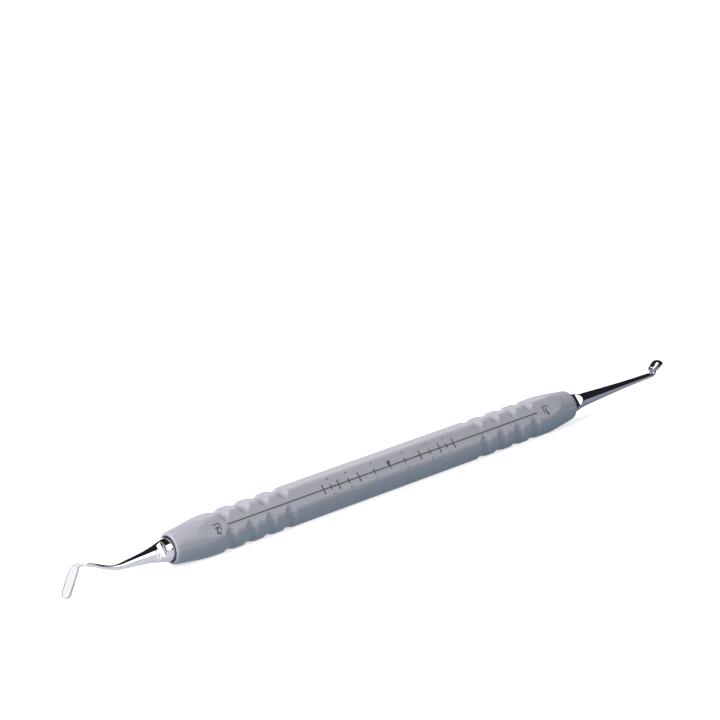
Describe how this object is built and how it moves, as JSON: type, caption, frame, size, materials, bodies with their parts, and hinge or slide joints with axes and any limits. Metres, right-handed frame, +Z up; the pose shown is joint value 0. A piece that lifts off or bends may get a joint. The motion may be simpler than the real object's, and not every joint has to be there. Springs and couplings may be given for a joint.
{
  "type": "composite sculpting instrument",
  "caption": "Double-ended dental hand instrument: moulded flatted handle with finger grooves and a printed scale, a bent steel spatula at one end and a small rounded condenser at the other.",
  "frame": {"origin": "middle of the handle's length between its groove groups, on the underside flat that the instrument rests on", "axes": "+X along the handle from the spatula end towards the condenser end, +Z up, -Y towards the side with the printed scale"},
  "size_m": [0.1659, 0.0088, 0.008],
  "materials": {
    "handle_plastic": "satin grey",
    "polished_steel": "mirror polished",
    "socket_brass": "turned",
    "seal_rubber": "matt black",
    "print_ink": "printed dark brown"
  },
  "bodies": {
    "root": {"handle": "handle_plastic", "spatula_end": "polished_steel", "condenser_end": "polished_steel", "socket_left": "socket_brass", "socket_right": "socket_brass", "seal_left": "seal_rubber", "seal_right": "seal_rubber", "scale_print": "print_ink"}
  },
  "joints": []
}
